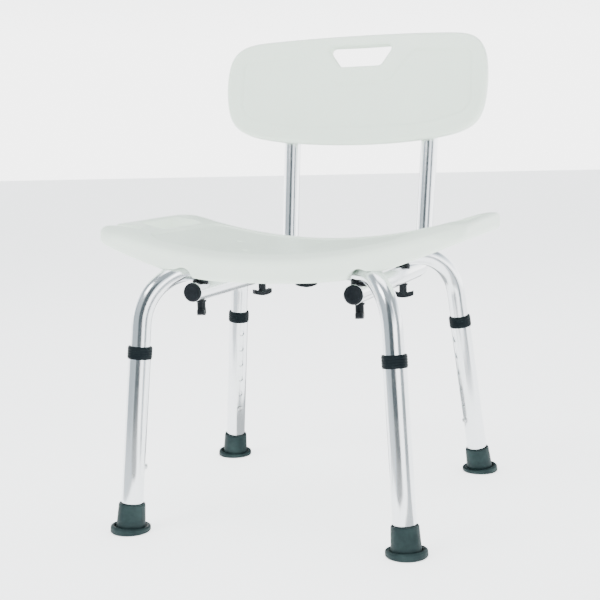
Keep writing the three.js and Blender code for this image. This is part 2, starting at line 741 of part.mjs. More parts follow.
function backrestPanel() {
  const toBack = (geometry) => geometry.applyMatrix4(backFrame);
  const half = BACK_THICK / 2;
  const inner = half - BACK_WALL;
  const slab = toBack(common(bowedLayer(-half, half), facing(backOutline(0))));
  const room = toBack(common(bowedLayer(-inner, inner), facing(backOutline(BACK_WALL + 1))));
  const sides = [-1, 1];
  const sockets = sides.map((s) => alongUpright(s, SOCKET_R, socketFrom, socketTo));
  const bores = sides.map((s) => alongUpright(s, FRAME_TUBE_R + GAP, socketFrom - 20,
    UPRIGHT_LENGTH + 1));
  const screws = sides.map((s) => screwHole(s * UPRIGHT_LEAN).translate(s * RUN_X, 0, RUN_Z));
  const vent = toBack(rod(3, -110, -70, 10).translate(0, BACK_MID_Y, 0));
  const hollow = cut(room, [toBack(handHole(BACK_WALL)), ...sockets]);
  return cut(join([slab, ...sockets]), [hollow, toBack(backField()), toBack(handHole(0)), ...bores,
    ...screws, vent]);
}

// ---------------------------------------------------------------- build

// Cross tube 'a' runs front left to rear right and passes below; 'b' passes above.
const diagonals = [
  { tag: 'a', side: -1, front: 'front_left', rear: 'rear_right' },
  { tag: 'b', side: 1, front: 'front_right', rear: 'rear_left' },
];

for (const { tag, side, front, rear } of diagonals) {
  const group = new THREE.Group();
  group.position.set(side * FRONT_FOOT.x, FRONT_FOOT.y, 0);
  group.rotation.z = side < 0 ? DIAGONAL_ANGLE : Math.PI - DIAGONAL_ANGLE;
  chair.add(group);
  place(group, `cross_tube_${tag}`, crossTube(side), aluminium);

  for (const atRear of [false, true]) {
    const name = atRear ? rear : front;
    const corner = new THREE.Group();
    corner.position.x = atRear ? DIAGONAL : 0;
    corner.rotation.z = atRear ? Math.PI : 0;
    group.add(corner);
    const splay = atRear ? REAR_SPLAY : FRONT_SPLAY;
    place(corner, `foot_${name}`, foot(splay), rubber);
    const leg = new THREE.Group();
    leg.rotation.y = splay;
    corner.add(leg);
    place(leg, `leg_tube_${name}`, legTube(), aluminium);
    place(leg, `collar_${name}`, collar(), collarPlastic);
    place(leg, `snap_button_${name}`, snapClip(), steel);
    place(leg, `foot_washer_${name}`, rod(LEG_TUBE_R - 1, 7 + GAP, 8.6, 16), steel);
  }
}

for (const side of [-1, 1]) {
  const word = side < 0 ? 'left' : 'right';
  const run = new THREE.Group();
  run.position.set(side * RUN_X, 0, RUN_Z);
  chair.add(run);
  const studYs = [yAtAlong(FRONT_SADDLE), yAtAlong(REAR_SADDLE)];
  place(run, `back_tube_${word}`, backTube(side * UPRIGHT_LEAN, studYs), aluminium);
  place(run, `tube_plug_${word}`, tubePlug(), darkPlastic)
    .position.set(0, RUN_FRONT_Y - GAP, 0);
  place(run, `back_screw_${word}`, backScrew(side * UPRIGHT_LEAN), steel);
}

for (const p of studPlaces) {
  const top = RUN_Z - FRAME_TUBE_R - GAP;
  place(chair, `saddle_${p.name}`, saddle(p.side), darkPlastic).position.set(p.x, p.y, 0);
  place(chair, `knob_${p.name}`, knobHead(p.turn), darkPlastic).position.set(p.x, p.y, top);
  place(chair, `knob_stud_${p.name}`, knobStud(insertFrom + p.insert - 1 - top), steel)
    .position.set(p.x, p.y, top);
  place(chair, `seat_insert_${p.name}`, threadedInsert(p), brass).position.set(p.x, p.y, 0);
}

const centreTop = CROSS_Z - 2 * LAP_HALF_HEIGHT - 1.5 * GAP;
place(chair, 'knob_centre', knobHead(centreStud.turn), darkPlastic)
  .position.set(centreStud.x, centreStud.y, centreTop);
place(chair, 'knob_stud_centre', knobStud(insertFrom + centreStud.insert - 1 - centreTop), steel)
  .position.set(centreStud.x, centreStud.y, centreTop);
place(chair, 'seat_insert_centre', threadedInsert(centreStud), brass)
  .position.set(centreStud.x, centreStud.y, 0);

place(chair, 'seat_panel', seatPanel(), whitePlastic);
place(chair, 'backrest_panel', backrestPanel(), whitePlastic);

export default new THREE.Group().add(chair);
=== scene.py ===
"""Looks of the shower chair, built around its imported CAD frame.

The builders below work in millimetres, with +Z up and the sitter facing -Y, and with Y = 0 midway
between the front and rear feet. add() turns that into the frame's metres.
"""

import math

import bpy
import numpy as np
from mathutils import Matrix, Vector


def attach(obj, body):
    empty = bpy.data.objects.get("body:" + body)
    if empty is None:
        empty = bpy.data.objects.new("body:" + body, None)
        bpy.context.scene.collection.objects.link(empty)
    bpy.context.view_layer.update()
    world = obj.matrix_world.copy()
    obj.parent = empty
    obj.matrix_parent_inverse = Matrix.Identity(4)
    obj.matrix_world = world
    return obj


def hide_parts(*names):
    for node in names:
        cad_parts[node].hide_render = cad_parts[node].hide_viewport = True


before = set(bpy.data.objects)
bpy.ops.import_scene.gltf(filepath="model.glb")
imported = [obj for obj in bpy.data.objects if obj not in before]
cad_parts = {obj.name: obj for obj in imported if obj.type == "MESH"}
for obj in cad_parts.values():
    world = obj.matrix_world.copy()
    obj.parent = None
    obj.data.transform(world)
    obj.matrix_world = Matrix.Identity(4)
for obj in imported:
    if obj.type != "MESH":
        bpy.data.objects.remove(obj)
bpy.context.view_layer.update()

ORIGIN_Y = 42.2  # the frame's origin lies this far behind the middle of the feet

# ---------------------------------------------------------------- dimensions, in millimetres

FRONT_FOOT = (184.0, -199.0)
REAR_FOOT = (200.0, 199.0)
FRONT_SPLAY = math.radians(5.5)
REAR_SPLAY = math.radians(8.5)
DIAGONAL = math.hypot(FRONT_FOOT[0] + REAR_FOOT[0], REAR_FOOT[1] - FRONT_FOOT[1])
DIAGONAL_ANGLE = math.atan2(REAR_FOOT[1] - FRONT_FOOT[1], FRONT_FOOT[0] + REAR_FOOT[0])

TUBE_R, TUBE_WALL = 12.7, 1.2
LEG_R, LEG_WALL = 14.3, 1.3
CROSS_Z = 332.9
LEG_BEND_R = 70.0
TUBE_END_Z = 62.0
LAP_FLAT, LAP_BLEND, LAP_HALF = 18.0, 20.0, 6.15
LAP_GAP, LAP_SPREAD, LAP_ABOVE_Z = 0.15, 0.1, 200
LEG_FROM, LEG_TO = 9, 236.5
LOCK_Z, HOLE_PITCH, HOLE_COUNT, HOLE_R = 84.0, 25.0, 6, 4.2

RUN_X, RUN_Z, RUN_FRONT_Y, CORNER_Y = 108.0, 307.0, -146.0, 228.8
RECLINE, LEAN = math.radians(11.5), math.radians(1.2)
UPRIGHT_LENGTH, RUN_BEND_R = 316.0, 52.0
SCREW_UP, SCREW_OUT = 272.0, 16.4
FIT_GAP = 0.3

SEAT_X, SEAT_FRONT, SEAT_REAR, SEAT_TOP, SEAT_R = 247.0, -150.0, 130.0, 358.0, 700.0
DRAINS = [(0, -72), (0, 58), (52, -98), (-52, -98), (52, 84), (-52, 84), (96, -8), (-96, -8)]

BACK_Z, BACK_R, BACK_MID, BACK_HALF = 580.0, 543.0, -4.0, 11.0
BACK_OUTLINE = [(0, 85), (60, 83.5), (117, 79), (165, 72), (189, 61), (202, 42), (207, 14),
                (206.5, -20), (200, -51), (184, -70), (150, -80.5), (85, -86), (0, -88)]

ALONG_FRONT = (FRONT_FOOT[0] - RUN_X) / math.cos(DIAGONAL_ANGLE)
ALONG_REAR = (FRONT_FOOT[0] + RUN_X) / math.cos(DIAGONAL_ANGLE)
ALONG_CROSS = FRONT_FOOT[0] / math.cos(DIAGONAL_ANGLE)


def y_at(along):
    """Y of a point on a diagonal, from its distance along it."""
    return FRONT_FOOT[1] + along * math.sin(DIAGONAL_ANGLE)


# ---------------------------------------------------------------- meshes

def add(name, verts, faces, material, body, replaces=(), sharp=None, uv=None):
    """A piece from points in millimetres, which rides a body and may stand for CAD nodes."""
    points = (np.asarray(verts, float) - [0, ORIGIN_Y, 0]) / 1000
    mesh = bpy.data.meshes.new(name)
    mesh.from_pydata(points.tolist(), [], [list(map(int, f)) for f in faces])
    mesh.polygons.foreach_set("use_smooth", [True] * len(mesh.polygons))
    if uv is not None:
        layer = mesh.uv_layers.new(name="grain")
        corner_verts = np.zeros(len(mesh.loops), np.int32)
        mesh.loops.foreach_get("vertex_index", corner_verts)
        layer.data.foreach_set("uv", np.asarray(uv, np.float32)[corner_verts].ravel())
    if sharp is not None:
        mesh.set_sharp_from_angle(angle=math.radians(sharp))
    mesh.materials.append(material)
    piece = bpy.data.objects.new(name, mesh)
    bpy.context.scene.collection.objects.link(piece)
    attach(piece, body)
    if replaces:
        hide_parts(*replaces)
    return piece


def moved(verts, matrix):
    """Points through a 4 x 4 matrix."""
    m = np.array(matrix)
    return np.asarray(verts, float) @ m[:3, :3].T + m[:3, 3]


def fillet(points, closed=False, steps=5):
    """Rounds the corners of a 2-D line; each point is (a, b) or (a, b, radius)."""
    line = []
    count = len(points)
    for i, p in enumerate(points):
        radius = p[2] if len(p) > 2 else 0
        if not radius or (not closed and i in (0, count - 1)):
            line.append((p[0], p[1]))
            continue
        here = np.array(p[:2], float)
        back = np.array(points[i - 1][:2], float) - here
        ahead = np.array(points[(i + 1) % count][:2], float) - here
        reach_back, reach_ahead = np.linalg.norm(back), np.linalg.norm(ahead)
        back, ahead = back / reach_back, ahead / reach_ahead
        half = math.acos(float(np.clip(back @ ahead, -1, 1))) / 2
        away = min(radius / math.tan(half), 0.49 * reach_back, 0.49 * reach_ahead)
        radius = away * math.tan(half)
        centre = here + (back + ahead) / np.linalg.norm(back + ahead) * radius / math.sin(half)
        start, end = here + back * away - centre, here + ahead * away - centre
        turn = math.pi - 2 * half
        for k in range(steps + 1):
            t = k / steps
            spot = (start * math.sin((1 - t) * turn) + end * math.sin(t * turn)) / math.sin(turn)
            line.append(tuple(centre + spot))
    return line


def lathe(profile, sides=48, closed=False):
    """Turns an outline of (radius, height) round Z."""
    verts, faces, rings = [], [], []
    angles = np.arange(sides) * 2 * math.pi / sides
    for r, z in profile:
        if abs(r) < 1e-6:
            rings.append([len(verts)])
            verts.append((0.0, 0.0, z))
        else:
            rings.append(list(range(len(verts), len(verts) + sides)))
            verts.extend((r * math.cos(a), r * math.sin(a), z) for a in angles)
    for low, high in zip(rings, rings[1:] + (rings[:1] if closed else [])):
        for k in range(sides):
            n = (k + 1) % sides
            if len(low) == 1 and len(high) == 1:
                continue
            if len(low) == 1:
                faces.append((low[0], high[n], high[k]))
            elif len(high) == 1:
                faces.append((low[k], low[n], high[0]))
            else:
                faces.append((low[k], low[n], high[n], high[k]))
    return np.array(verts), faces


def bent_path(corners, bend_r, arc_steps=20, straight=30.0):
    """Points and directions along straight stretches joined by arcs."""
    corners = [np.array(c, float) for c in corners]
    points, tangents = [], []
    start = corners[0]
    for i in range(1, len(corners)):
        heading = corners[i] - corners[i - 1]
        heading = heading / np.linalg.norm(heading)
        last = i == len(corners) - 1
        setback = 0.0
        if not last:
            onward = corners[i + 1] - corners[i]
            onward = onward / np.linalg.norm(onward)
            turn = math.acos(float(np.clip(heading @ onward, -1, 1)))
            setback = bend_r * math.tan(turn / 2)
        stop = corners[i] - heading * setback
        count = max(1, int(np.linalg.norm(stop - start) // straight))
        for k in range(count + (1 if last else 0)):
            points.append(start + (stop - start) * k / count)
            tangents.append(heading)
        if not last:
            side = onward - heading * float(onward @ heading)
            side = side / np.linalg.norm(side)
            for k in range(arc_steps):
                a = turn * k / arc_steps
                points.append(stop + heading * bend_r * math.sin(a)
                              + side * bend_r * (1 - math.cos(a)))
                tangents.append(heading * math.cos(a) + side * math.sin(a))
            start = corners[i] + onward * setback
    return np.array(points), np.array(tangents)


def tube(points, tangents, across, outer, wall, sides=40, lip=0.35):
    """A hollow tube on a flat path; across is the direction square to the path's plane."""
    across = np.array(across, float)
    angles = np.arange(sides) * 2 * math.pi / sides
    inner = outer - wall
    stops = [0.0, *np.cumsum(np.linalg.norm(np.diff(points, axis=0), axis=1))]
    total = stops[-1]
    rows = []
    for p, t, s in zip(points, tangents, stops):
        rows.append((p, t, outer, s))
    rows[0] = (points[0] + tangents[0] * lip, tangents[0], outer, lip)
    rows[-1] = (points[-1] - tangents[-1] * lip, tangents[-1], outer, total - lip)
    rows.append((points[-1], tangents[-1], outer - lip, total))
    rows.append((points[-1], tangents[-1], inner + lip / 2, total))
    rows.append((points[-1] - tangents[-1] * lip, tangents[-1], inner, total))
    for p, t, s in list(zip(points, tangents, stops))[-2:0:-1]:
        rows.append((p, t, inner, s))
    rows.append((points[0] + tangents[0] * lip, tangents[0], inner, 0.0))
    rows.append((points[0], tangents[0], inner + lip / 2, 0.0))
    rows.append((points[0], tangents[0], outer - lip, 0.0))
    verts, uv = [], []
    for p, t, r, s in rows:
        up = np.cross(t, across)
        for a in angles:
            verts.append(p + across * (r * math.cos(a)) + up * (r * math.sin(a)))
            uv.append((a * outer / 1000, s / 1000))
    faces = []
    count = len(rows)
    for i in range(count):
        j = (i + 1) % count
        for k in range(sides):
            n = (k + 1) % sides
            faces.append((i * sides + k, j * sides + k, j * sides + n, i * sides + n))
    return np.array(verts), faces, uv


def oriented(verts, faces):
    """Faces turned so that the closed body they bound faces outwards."""
    v = np.asarray(verts, float)
    fans = np.array([(f[0], f[i], f[i + 1]) for f in faces for i in range(1, len(f) - 1)])
    a, b, c = (v[fans[:, k]] for k in range(3))
    signed_volume = float((a * np.cross(b, c)).sum())
    return faces if signed_volume > 0 else [tuple(reversed(f)) for f in faces]


# ---------------------------------------------------------------- surfaces from distance fields

def both(a, b, r):
    """Where a and b overlap, with the edge between them rounded to radius r."""
    u, v = np.maximum(a + r, 0), np.maximum(b + r, 0)
    return np.minimum(np.maximum(a, b), -r) + np.sqrt(u * u + v * v)


def either(a, b, r):
    """a and b joined, with a fillet of radius r between them."""
    return -both(-a, -b, r)


def ramp(x, low, high):
    """0 below low, 1 above high, and smooth between."""
    t = np.clip((x - low) / (high - low), 0, 1)
    return t * t * (3 - 2 * t)


def gradient(field, here, x, y, z, step=0.01):
    """The field's slope at points where its value is here."""
    return np.stack([field(x + step, y, z) - here, field(x, y + step, z) - here,
                     field(x, y, z + step) - here]) / step


def skinned(field, low, high, step):
    """The surface where field(x, y, z) is 0, as quads: one point in each grid cell that it crosses."""
    axes = [np.arange(a - step, b + 2 * step, step) for a, b in zip(low, high)]
    x, y, z = np.meshgrid(*axes, indexing="ij", sparse=True)
    values = np.broadcast_to(field(x, y, z), [len(a) for a in axes])
    inside = values < 0
    shape = [n - 1 for n in values.shape]
    total = np.zeros((*shape, 3))
    hits = np.zeros(shape)
    for axis in range(3):
        head = [slice(None)] * 3
        tail = [slice(None)] * 3
        head[axis], tail[axis] = slice(0, -1), slice(1, None)
        a, b = values[tuple(head)], values[tuple(tail)]
        crossed = (a < 0) != (b < 0)
        where = np.where(crossed, a / np.where(a == b, 1, a - b), 0)
        others = [i for i in range(3) if i != axis]
        for p in (0, 1):
            for q in (0, 1):
                pick = [slice(None)] * 3
                pick[others[0]] = slice(p, p + shape[others[0]])
                pick[others[1]] = slice(q, q + shape[others[1]])
                mask = crossed[tuple(pick)]
                hits += mask
                total[..., axis] += where[tuple(pick)] * mask
                total[..., others[0]] += p * mask
                total[..., others[1]] += q * mask
    cells = hits > 0
    number = np.full(shape, -1, np.int64)
    number[cells] = np.arange(int(cells.sum()))
    index = np.argwhere(cells)
    verts = np.array([a[0] for a in axes]) + step * (index + total[cells] / hits[cells][:, None])
    quads = []
    for axis in range(3):
        u, v = (axis + 1) % 3, (axis + 2) % 3
        head = [slice(None)] * 3
        tail = [slice(None)] * 3
        head[axis], tail[axis] = slice(0, -1), slice(1, None)
        a, b = inside[tuple(head)], inside[tuple(tail)]
        spots = np.argwhere(a != b)
        leaving = a[tuple(spots.T)]
        spots_ok = (spots[:, u] > 0) & (spots[:, v] > 0)
        spots, leaving = spots[spots_ok], leaving[spots_ok]
        corner = []
        for du, dv in ((1, 1), (0, 1), (0, 0), (1, 0)):
            at = spots.copy()
            at[:, u] -= du
            at[:, v] -= dv
            corner.append(number[tuple(at.T)])
        quad = np.stack(corner, 1)
        quad[~leaving] = quad[~leaving][:, ::-1]
        quads.append(quad)
    quads = np.concatenate(quads)
    for _ in range(3):
        px, py, pz = verts.T
        here = field(px, py, pz)
        slope = gradient(field, here, px, py, pz)
        size = np.maximum((slope ** 2).sum(0), 0.1)
        pull = np.clip(-here / size, -step, step)
        verts = verts + (slope * pull).T
    return verts, quads


def polygon_distance(px, py, outline):
    """Distance from a closed outline, negative inside."""
    px, py = np.broadcast_arrays(px, py)
    best = np.full(px.shape, np.inf)
    inside = np.zeros(px.shape, bool)
    for (ax, ay), (bx, by) in zip(outline, outline[1:] + outline[:1]):
        ex, ey = bx - ax, by - ay
        wx, wy = px - ax, py - ay
        t = np.clip((wx * ex + wy * ey) / (ex * ex + ey * ey), 0, 1)
        best = np.minimum(best, np.hypot(wx - t * ex, wy - t * ey))
        if ay != by:
            straddles = (ay > py) != (by > py)
            inside ^= straddles & (px < ex * (py - ay) / ey + ax)
    return np.where(inside, -best, best)


def distance_table(outline, reach_x, reach_y, pitch=0.5):
    """A quick polygon_distance for one outline: it reads between the points of a table."""
    across, up = (np.arange(-reach, reach + 2 * pitch, pitch) for reach in (reach_x, reach_y))
    table = polygon_distance(across[:, None], up[None, :], outline)

    def look_up(px, py):
        u = np.clip((px + reach_x) / pitch, 0, len(across) - 1.001)
        v = np.clip((py + reach_y) / pitch, 0, len(up) - 1.001)
        i, j = u.astype(int), v.astype(int)
        u, v = u - i, v - j
        low = table[i, j] * (1 - u) + table[i + 1, j] * u
        high = table[i, j + 1] * (1 - u) + table[i + 1, j + 1] * u
        return low * (1 - v) + high * v

    return look_up


def box_distance(px, py, half_x, half_y, r):
    """Distance from a rounded rectangle centred on the origin."""
    qx, qy = np.abs(px) - half_x + r, np.abs(py) - half_y + r
    return np.hypot(np.maximum(qx, 0), np.maximum(qy, 0)) + np.minimum(np.maximum(qx, qy), 0) - r


# ---------------------------------------------------------------- materials

def new_material(name, color, roughness, metallic=0.0):
    """A material with its node tree and its one shader."""
    material = bpy.data.materials.new(name)
    material.use_nodes = True
    shader = material.node_tree.nodes["Principled BSDF"]
    shader.inputs["Base Color"].default_value = (*color, 1)
    shader.inputs["Roughness"].default_value = roughness
    shader.inputs["Metallic"].default_value = metallic
    return material, material.node_tree, shader


def noise(tree, vector, scale, detail=3.0, roughness=0.5):
    """Noise with scale features to the metre, or to one unit of another vector."""
    node = tree.nodes.new("ShaderNodeTexNoise")
    node.inputs["Scale"].default_value = scale
    node.inputs["Detail"].default_value = detail
    node.inputs["Roughness"].default_value = roughness
    tree.links.new(vector, node.inputs["Vector"])
    return node.outputs["Fac"]


def object_space(tree):
    return tree.nodes.new("ShaderNodeTexCoord").outputs["Object"]


def remap(tree, value, low, high, start=0.0, end=1.0):
    """start..end stretched to low..high."""
    node = tree.nodes.new("ShaderNodeMapRange")
    node.inputs["From Min"].default_value = start
    node.inputs["From Max"].default_value = end
    node.inputs["To Min"].default_value = low
    node.inputs["To Max"].default_value = high
    tree.links.new(value, node.inputs["Value"])
    return node.outputs["Result"]


def tint(tree, factor, dark, light):
    """A colour between dark and light."""
    node = tree.nodes.new("ShaderNodeMix")
    node.data_type = "RGBA"
    tree.links.new(factor, node.inputs["Factor"])
    node.inputs[6].default_value = (*dark, 1)
    node.inputs[7].default_value = (*light, 1)
    return node.outputs[2]


def bump(tree, height, shader, distance, strength=1.0, before=None):
    """Fine relief of a depth in metres, on top of the bump before it."""
    node = tree.nodes.new("ShaderNodeBump")
    node.inputs["Distance"].default_value = distance
    node.inputs["Strength"].default_value = strength
    tree.links.new(height, node.inputs["Height"])
    if before is not None:
        tree.links.new(before, node.inputs["Normal"])
    tree.links.new(node.outputs["Normal"], shader.inputs["Normal"])
    return node.outputs["Normal"]


def moulded_white():
    """Blow-moulded polyethylene: an even fine grain, faintly cloudy."""
    material, tree, shader = new_material("white_polyethylene", (0.725, 0.825, 0.72), 0.42)
    where = object_space(tree)
    clouds = noise(tree, where, 9.0, 4.0)
    color = tint(tree, remap(tree, clouds, 0, 1, 0.3, 0.7), (0.71, 0.81, 0.70), (0.745, 0.845, 0.735))
    tree.links.new(color, shader.inputs["Base Color"])
    grain = noise(tree, where, 1500.0, 2.0)
    tree.links.new(remap(tree, noise(tree, where, 60.0, 5.0), 0.36, 0.50, 0.3, 0.7),
                   shader.inputs["Roughness"])
    first = bump(tree, grain, shader, 0.00006, 0.5)
    bump(tree, noise(tree, where, 26.0, 2.0), shader, 0.0006, 0.35, first)
    shader.inputs["Specular IOR Level"].default_value = 0.5
    shader.inputs["IOR"].default_value = 1.5
    return material


def drawn_aluminium():
    """Satin anodised tube with fine lines along its length."""
    material, tree, shader = new_material("drawn_aluminium", (0.80, 0.82, 0.84), 0.3, 1.0)
    uv = tree.nodes.new("ShaderNodeUVMap")
    uv.uv_map = "grain"
    stretch = tree.nodes.new("ShaderNodeMapping")
    stretch.inputs["Scale"].default_value = (2600, 14, 1)
    tree.links.new(uv.outputs["UV"], stretch.inputs["Vector"])
    lines = noise(tree, stretch.outputs["Vector"], 1.0, 3.0, 0.6)
    where = object_space(tree)
    wear = noise(tree, where, 34.0, 5.0, 0.6)
    rough = tree.nodes.new("ShaderNodeMath")
    rough.operation = "ADD"
    tree.links.new(remap(tree, lines, 0.13, 0.20, 0.3, 0.7), rough.inputs[0])
    tree.links.new(remap(tree, wear, 0.0, 0.07, 0.4, 0.75), rough.inputs[1])
    tree.links.new(rough.outputs[0], shader.inputs["Roughness"])
    color = tint(tree, remap(tree, lines, 0, 1, 0.3, 0.7), (0.775, 0.80, 0.82), (0.84, 0.855, 0.87))
    tree.links.new(color, shader.inputs["Base Color"])
    bump(tree, lines, shader, 0.00003, 0.35)
    return material


def moulded_dark(name, color, light, roughness, shine):
    """Dark moulded plastic or rubber with grain and a little dust in its colour."""
    material, tree, shader = new_material(name, color, roughness)
    shader.inputs["Specular IOR Level"].default_value = shine
    where = object_space(tree)
    dust = noise(tree, where, 45.0, 6.0, 0.6)
    tree.links.new(tint(tree, remap(tree, dust, 0, 1, 0.38, 0.72), color, light),
                   shader.inputs["Base Color"])
    tree.links.new(remap(tree, dust, roughness - 0.06, roughness + 0.1, 0.3, 0.7),
                   shader.inputs["Roughness"])
    bump(tree, noise(tree, where, 900.0, 3.0), shader, 0.00012, 0.5)
    return material


def plated_steel():
    """Zinc plate with faint tarnish."""
    material, tree, shader = new_material("plated_steel", (0.62, 0.63, 0.64), 0.35, 1.0)
    where = object_space(tree)
    tarnish = noise(tree, where, 120.0, 5.0, 0.6)
    tree.links.new(tint(tree, remap(tree, tarnish, 0, 1, 0.35, 0.7), (0.52, 0.53, 0.54),
                        (0.70, 0.71, 0.71)), shader.inputs["Base Color"])
    tree.links.new(remap(tree, tarnish, 0.24, 0.42, 0.3, 0.7), shader.inputs["Roughness"])
    bump(tree, noise(tree, where, 700.0, 2.0), shader, 0.00003, 0.4)
    return material


def turned_brass():
    """Plain brass with turning marks in its colour."""
    material, tree, shader = new_material("turned_brass", (0.68, 0.52, 0.24), 0.38, 1.0)
    marks = noise(tree, object_space(tree), 400.0, 4.0)
    tree.links.new(tint(tree, marks, (0.60, 0.45, 0.20), (0.74, 0.58, 0.28)),
                   shader.inputs["Base Color"])
    return material


WHITE = moulded_white()
ALUMINIUM = drawn_aluminium()
RUBBER = moulded_dark("dusty_rubber", (0.008, 0.018, 0.019), (0.019, 0.035, 0.035), 0.5, 0.12)
COLLAR = moulded_dark("collar_plastic", (0.003, 0.006, 0.008), (0.008, 0.012, 0.014), 0.42, 0.06)
BLACK = moulded_dark("knob_nylon", (0.005, 0.007, 0.009), (0.011, 0.014, 0.017), 0.38, 0.12)
STEEL = plated_steel()
BRASS = turned_brass()

# ---------------------------------------------------------------- seat

PLAN_Y, PLAN_HALF_Y, PLAN_R, FRONT_BOW = -10, 140, 25, 12.0
FIELD_DEPTH, FIELD_Y, FIELD_HALF_X, FIELD_HALF_Y, FIELD_R, FIELD_STEP = 2.0, -9, 178, 119, 26, 2.1
BEAD_HEIGHT, BEAD_OUT, BEAD_WIDTH = 0.7, 3, 2.2  # a raised line round the sunken field
END_X, END_DROP, FRONT_DROOP = 205, 0.0046, 2.5  # the ends turn down from END_X outwards
BELLY_Z, BELLY_X, BELLY_BLEND, BELLY_RISE, BELLY_SLOPE = 320.5, 111.4, 28, 10.92, 0.39
EDGE_R, FRONT_END_EXTRA, REAR_EXTRA, BELLY_EDGE_R = 5, 5, 3, 5
APRON_SLOPE, APRON_OUT, APRON_FADE, APRON_R = math.radians(27), 131, 40, 7
TROUGH_HALF, TROUGH_REACH, TROUGH_R = 15.2, 13.3, 10
MOUTH_X, MOUTH_Z, MOUTH_Y, MOUTH_R, MOUTH_EDGE_R = 118, 326, -130, 14, 3
SLOT_IN, SLOT_OUT, SLOT_Y, SLOT_HALF, SLOT_TAPER, SLOT_R = 190, 230, 8, 72, 14, 12
NOTCH_X, NOTCH_Y, NOTCH_HALF, NOTCH_R = -202, -100, 12, 10
DRAIN_R, DRAIN_RIM_R, TROUGH_RIM_R, OPENING_RIM_R = 4, 1.6, 2.5, 3.5


def seat_field(x, y, z):
    """The blown seat: a curved slab less its troughs, tube mouths, hand slots, notch and drains."""
    ax = np.abs(x)
    unbowed = y + FRONT_BOW * np.maximum(1 - (x / SEAT_X) ** 2, 0) * ramp(-y, 0, 150)
    sunken = box_distance(x, unbowed - FIELD_Y, FIELD_HALF_X, FIELD_HALF_Y, FIELD_R)
    dish = (FIELD_DEPTH * (1 - ramp(sunken, -FIELD_STEP, FIELD_STEP))
            - BEAD_HEIGHT * np.exp(-((sunken - BEAD_OUT) / BEAD_WIDTH) ** 2))
    past = np.maximum(ax - END_X, 0)
    hang = np.sqrt(np.maximum(SEAT_R ** 2 - x * x, 1))
    droop = FRONT_DROOP * ramp(-y, -100, 140) * ramp(ax, 190, 240)
    crown = SEAT_TOP + SEAT_R - hang - END_DROP * past * past - droop
    top = (z + dish - crown) / np.hypot(1, ax / hang - 2 * END_DROP * past)
    outward = np.exp((ax - BELLY_X) / BELLY_BLEND)
    belly = ((BELLY_Z + BELLY_RISE * np.log1p(outward) - z)
             / np.hypot(1, BELLY_SLOPE * outward / (1 + outward)))
    plan = box_distance(x, unbowed - PLAN_Y, SEAT_X, PLAN_HALF_Y, PLAN_R)
    front, rear, end = ramp(-unbowed, 90, 140), ramp(y, 70, 120), ramp(ax, END_X, 242)
    edge_r = EDGE_R + front * FRONT_END_EXTRA * end + REAR_EXTRA * rear
    apron = (-unbowed - APRON_OUT) * math.sin(APRON_SLOPE) + (z - crown) * math.cos(APRON_SLOPE)
    top = both(top, apron - APRON_FADE * end * (1 - front), APRON_R)
    body = both(both(plan, top, edge_r), belly, BELLY_EDGE_R)
    c, s = math.cos(DIAGONAL_ANGLE), math.sin(DIAGONAL_ANGLE)
    for side in (-1, 1):
        dx, dy = -side * (x - side * FRONT_FOOT[0]), y - FRONT_FOOT[1]
        along, off = dx * c + dy * s, dy * c - dx * s
        front_leg = -along * math.cos(FRONT_SPLAY) + z * math.sin(FRONT_SPLAY)
        rear_leg = (along - DIAGONAL) * math.cos(REAR_SPLAY) + z * math.sin(REAR_SPLAY)
        over = both(both(z - CROSS_Z, front_leg, LEG_BEND_R), rear_leg, LEG_BEND_R)
        trough = both(np.abs(off) - TROUGH_HALF, over - TROUGH_REACH, TROUGH_R)
        body = both(body, -trough, TROUGH_RIM_R)
    mouth = both(np.hypot(ax - MOUTH_X, z - MOUTH_Z) - MOUTH_R, y - MOUTH_Y, MOUTH_EDGE_R)
    body = both(body, -mouth, TROUGH_RIM_R)
    width = SLOT_OUT - SLOT_IN
    slanted = (((ax - SLOT_IN) * SLOT_TAPER + (np.abs(y - SLOT_Y) - SLOT_HALF) * width)
               / math.hypot(SLOT_TAPER, width))
    slot = both(np.maximum(SLOT_IN - ax, ax - SLOT_OUT), slanted, SLOT_R)
    body = both(body, -slot, OPENING_RIM_R)
    notch = both(np.abs(y - NOTCH_Y) - NOTCH_HALF, x - NOTCH_X, NOTCH_R)
    body = both(body, -notch, OPENING_RIM_R)
    for px, py in DRAINS:
        body = both(body, DRAIN_R - np.hypot(x - px, y - py), DRAIN_RIM_R)
    return body


SEAT_STEP = 1.9
verts, quads = skinned(seat_field, (-SEAT_X, SEAT_FRONT - FRONT_BOW, 319),
                       (SEAT_X, SEAT_REAR, 396), SEAT_STEP)
add("seat_shell", verts, quads, WHITE, "frame", ["seat_panel"])

# ---------------------------------------------------------------- backrest

BACK_MATRIX = (Matrix.Translation((0, CORNER_Y + (BACK_Z - RUN_Z) * math.tan(RECLINE), BACK_Z))
               @ Matrix.Rotation(-RECLINE, 4, "X"))


def upright_matrix(side):
    """An upright's own axes: Z up along it, from the corner where its level run ends."""
    return (Matrix.Translation((side * RUN_X, 0, RUN_Z)) @ Matrix.Rotation(side * LEAN, 4, "Y")
            @ Matrix.Translation((0, CORNER_Y, 0)) @ Matrix.Rotation(-RECLINE, 4, "X"))


def smooth_loop(points, per_side=6):
    """A closed Catmull-Rom line through the points."""
    loop, count = [], len(points)
    for i in range(count):
        p = [np.array(points[(i + k) % count], float) for k in (-1, 0, 1, 2)]
        for k in range(per_side):
            t = k / per_side
            loop.append(tuple(0.5 * (2 * p[1] + (p[2] - p[0]) * t
                                     + (2 * p[0] - 5 * p[1] + 4 * p[2] - p[3]) * t * t
                                     + (3 * p[1] - p[0] - 3 * p[2] + p[3]) * t ** 3)))
    return loop


